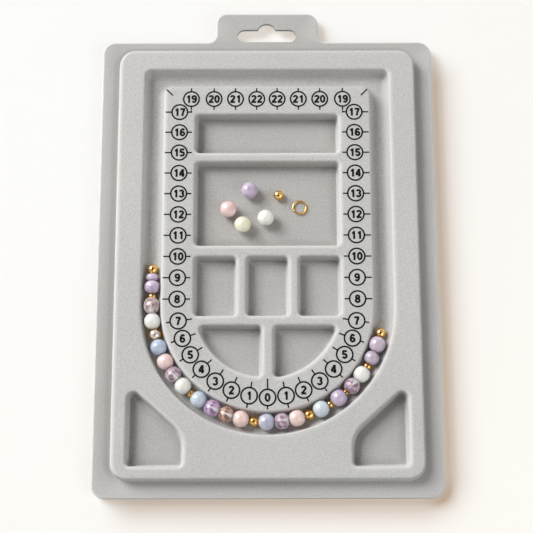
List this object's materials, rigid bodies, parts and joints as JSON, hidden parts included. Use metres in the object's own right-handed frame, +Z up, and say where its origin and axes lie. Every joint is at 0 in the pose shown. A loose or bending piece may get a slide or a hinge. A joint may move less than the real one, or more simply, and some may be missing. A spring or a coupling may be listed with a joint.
{
  "type": "bead board",
  "caption": "Flocked design tray with a U-shaped measuring channel, shallow compartments and a hang tab, with loose beads and gold spacers laid out in it.",
  "frame": {"origin": "middle of the whole outline, hang tab included, on the underside", "axes": "+Z up out of the tray, +Y towards the hang tab, +X to the right for someone using it with the tab away from them"},
  "size_m": [0.1574, 0.2314, 0.0127],
  "materials": {
    "tray": "flocked grey plastic, fine velvet nap",
    "lilac": "polished, slightly milky",
    "lilac_grey": "polished, slightly milky",
    "lilac_rose": "polished, slightly milky",
    "white": "polished, slightly milky",
    "cream": "polished, slightly milky",
    "pearl": "polished, slightly milky",
    "blue": "polished, slightly milky",
    "blue_light": "polished, slightly milky",
    "blue_pale": "polished, slightly milky",
    "periwinkle": "polished, slightly milky",
    "pink": "polished, slightly milky",
    "peach": "polished, slightly milky",
    "crystal_peach": "cut and polished, clear tint",
    "crystal_lilac": "cut and polished, clear tint",
    "crystal_purple": "cut and polished, clear tint",
    "crystal_rose": "cut and polished, clear tint",
    "crystal_silver": "cut and polished, clear tint",
    "gold": "polished gold plate"
  },
  "bodies": {
    "board": {"tray": "tray"},
    "bead01_gold_ball_body": {"bead01_gold_ball": "gold"},
    "bead02_lilac_small_body": {"bead02_lilac_small": "lilac"},
    "bead03_lilac_body": {"bead03_lilac": "lilac"},
    "spacer04_gold_body": {"spacer04_gold": "gold"},
    "bead05_crystal_peach_body": {"bead05_crystal_peach": "crystal_peach"},
    "bead06_white_body": {"bead06_white": "white"},
    "bead07_crystal_silver_body": {"bead07_crystal_silver": "crystal_silver"},
    "bead08_blue_body": {"bead08_blue": "blue"},
    "bead09_pink_body": {"bead09_pink": "pink"},
    "bead10_crystal_lilac_body": {"bead10_crystal_lilac": "crystal_lilac"},
    "bead11_pearl_body": {"bead11_pearl": "pearl"},
    "spacer12_gold_body": {"spacer12_gold": "gold"},
    "bead13_blue_light_body": {"bead13_blue_light": "blue_light"},
    "bead14_crystal_purple_body": {"bead14_crystal_purple": "crystal_purple"},
    "bead15_crystal_rose_body": {"bead15_crystal_rose": "crystal_rose"},
    "bead16_peach_body": {"bead16_peach": "peach"},
    "bead17_gold_ball_body": {"bead17_gold_ball": "gold"},
    "bead18_periwinkle_body": {"bead18_periwinkle": "periwinkle"},
    "bead19_crystal_lilac_body": {"bead19_crystal_lilac": "crystal_lilac"},
    "bead20_peach_body": {"bead20_peach": "peach"},
    "bead21_gold_ball_body": {"bead21_gold_ball": "gold"},
    "bead22_blue_pale_body": {"bead22_blue_pale": "blue_pale"},
    "spacer23_gold_body": {"spacer23_gold": "gold"},
    "bead24_lilac_body": {"bead24_lilac": "lilac"},
    "spacer25_gold_thin_body": {"spacer25_gold_thin": "gold"},
    "bead26_crystal_lilac_body": {"bead26_crystal_lilac": "crystal_lilac"},
    "bead27_white_body": {"bead27_white": "white"},
    "spacer28_gold_body": {"spacer28_gold": "gold"},
    "bead29_lilac_grey_body": {"bead29_lilac_grey": "lilac_grey"},
    "bead30_lilac_rose_body": {"bead30_lilac_rose": "lilac_rose"},
    "bead31_gold_ball_body": {"bead31_gold_ball": "gold"},
    "loose_bead_lilac_body": {"loose_bead_lilac": "lilac"},
    "loose_bead_pink_body": {"loose_bead_pink": "pink"},
    "loose_bead_cream_body": {"loose_bead_cream": "cream"},
    "loose_bead_white_body": {"loose_bead_white": "white"},
    "loose_gold_ball_body": {"loose_gold_ball": "gold"},
    "loose_jump_ring_body": {"loose_jump_ring": "gold"}
  },
  "joints": [
    {"name": "bead01_gold_ball_lift", "type": "slide", "parent": "board", "child": "bead01_gold_ball_body", "axis": [0, 0, 1], "range_m": [0, 0.04]},
    {"name": "bead02_lilac_small_lift", "type": "slide", "parent": "board", "child": "bead02_lilac_small_body", "axis": [0, 0, 1], "range_m": [0, 0.04]},
    {"name": "bead03_lilac_lift", "type": "slide", "parent": "board", "child": "bead03_lilac_body", "axis": [0, 0, 1], "range_m": [0, 0.04]},
    {"name": "spacer04_gold_lift", "type": "slide", "parent": "board", "child": "spacer04_gold_body", "axis": [0, 0, 1], "range_m": [0, 0.04]},
    {"name": "bead05_crystal_peach_lift", "type": "slide", "parent": "board", "child": "bead05_crystal_peach_body", "axis": [0, 0, 1], "range_m": [0, 0.04]},
    {"name": "bead06_white_lift", "type": "slide", "parent": "board", "child": "bead06_white_body", "axis": [0, 0, 1], "range_m": [0, 0.04]},
    {"name": "bead07_crystal_silver_lift", "type": "slide", "parent": "board", "child": "bead07_crystal_silver_body", "axis": [0, 0, 1], "range_m": [0, 0.04]},
    {"name": "bead08_blue_lift", "type": "slide", "parent": "board", "child": "bead08_blue_body", "axis": [0, 0, 1], "range_m": [0, 0.04]},
    {"name": "bead09_pink_lift", "type": "slide", "parent": "board", "child": "bead09_pink_body", "axis": [0, 0, 1], "range_m": [0, 0.04]},
    {"name": "bead10_crystal_lilac_lift", "type": "slide", "parent": "board", "child": "bead10_crystal_lilac_body", "axis": [0, 0, 1], "range_m": [0, 0.04]},
    {"name": "bead11_pearl_lift", "type": "slide", "parent": "board", "child": "bead11_pearl_body", "axis": [0, 0, 1], "range_m": [0, 0.04]},
    {"name": "spacer12_gold_lift", "type": "slide", "parent": "board", "child": "spacer12_gold_body", "axis": [0, 0, 1], "range_m": [0, 0.04]},
    {"name": "bead13_blue_light_lift", "type": "slide", "parent": "board", "child": "bead13_blue_light_body", "axis": [0, 0, 1], "range_m": [0, 0.04]},
    {"name": "bead14_crystal_purple_lift", "type": "slide", "parent": "board", "child": "bead14_crystal_purple_body", "axis": [0, 0, 1], "range_m": [0, 0.04]},
    {"name": "bead15_crystal_rose_lift", "type": "slide", "parent": "board", "child": "bead15_crystal_rose_body", "axis": [0, 0, 1], "range_m": [0, 0.04]},
    {"name": "bead16_peach_lift", "type": "slide", "parent": "board", "child": "bead16_peach_body", "axis": [0, 0, 1], "range_m": [0, 0.04]},
    {"name": "bead17_gold_ball_lift", "type": "slide", "parent": "board", "child": "bead17_gold_ball_body", "axis": [0, 0, 1], "range_m": [0, 0.04]},
    {"name": "bead18_periwinkle_lift", "type": "slide", "parent": "board", "child": "bead18_periwinkle_body", "axis": [0, 0, 1], "range_m": [0, 0.04]},
    {"name": "bead19_crystal_lilac_lift", "type": "slide", "parent": "board", "child": "bead19_crystal_lilac_body", "axis": [0, 0, 1], "range_m": [0, 0.04]},
    {"name": "bead20_peach_lift", "type": "slide", "parent": "board", "child": "bead20_peach_body", "axis": [0, 0, 1], "range_m": [0, 0.04]},
    {"name": "bead21_gold_ball_lift", "type": "slide", "parent": "board", "child": "bead21_gold_ball_body", "axis": [0, 0, 1], "range_m": [0, 0.04]},
    {"name": "bead22_blue_pale_lift", "type": "slide", "parent": "board", "child": "bead22_blue_pale_body", "axis": [0, 0, 1], "range_m": [0, 0.04]},
    {"name": "spacer23_gold_lift", "type": "slide", "parent": "board", "child": "spacer23_gold_body", "axis": [0, 0, 1], "range_m": [0, 0.04]},
    {"name": "bead24_lilac_lift", "type": "slide", "parent": "board", "child": "bead24_lilac_body", "axis": [0, 0, 1], "range_m": [0, 0.04]},
    {"name": "spacer25_gold_thin_lift", "type": "slide", "parent": "board", "child": "spacer25_gold_thin_body", "axis": [0, 0, 1], "range_m": [0, 0.04]},
    {"name": "bead26_crystal_lilac_lift", "type": "slide", "parent": "board", "child": "bead26_crystal_lilac_body", "axis": [0, 0, 1], "range_m": [0, 0.04]},
    {"name": "bead27_white_lift", "type": "slide", "parent": "board", "child": "bead27_white_body", "axis": [0, 0, 1], "range_m": [0, 0.04]},
    {"name": "spacer28_gold_lift", "type": "slide", "parent": "board", "child": "spacer28_gold_body", "axis": [0, 0, 1], "range_m": [0, 0.04]},
    {"name": "bead29_lilac_grey_lift", "type": "slide", "parent": "board", "child": "bead29_lilac_grey_body", "axis": [0, 0, 1], "range_m": [0, 0.04]},
    {"name": "bead30_lilac_rose_lift", "type": "slide", "parent": "board", "child": "bead30_lilac_rose_body", "axis": [0, 0, 1], "range_m": [0, 0.04]},
    {"name": "bead31_gold_ball_lift", "type": "slide", "parent": "board", "child": "bead31_gold_ball_body", "axis": [0, 0, 1], "range_m": [0, 0.04]},
    {"name": "loose_bead_lilac_lift", "type": "slide", "parent": "board", "child": "loose_bead_lilac_body", "axis": [0, 0, 1], "range_m": [0, 0.04]},
    {"name": "loose_bead_pink_lift", "type": "slide", "parent": "board", "child": "loose_bead_pink_body", "axis": [0, 0, 1], "range_m": [0, 0.04]},
    {"name": "loose_bead_cream_lift", "type": "slide", "parent": "board", "child": "loose_bead_cream_body", "axis": [0, 0, 1], "range_m": [0, 0.04]},
    {"name": "loose_bead_white_lift", "type": "slide", "parent": "board", "child": "loose_bead_white_body", "axis": [0, 0, 1], "range_m": [0, 0.04]},
    {"name": "loose_gold_ball_lift", "type": "slide", "parent": "board", "child": "loose_gold_ball_body", "axis": [0, 0, 1], "range_m": [0, 0.04]},
    {"name": "loose_jump_ring_lift", "type": "slide", "parent": "board", "child": "loose_jump_ring_body", "axis": [0, 0, 1], "range_m": [0, 0.04]}
  ]
}
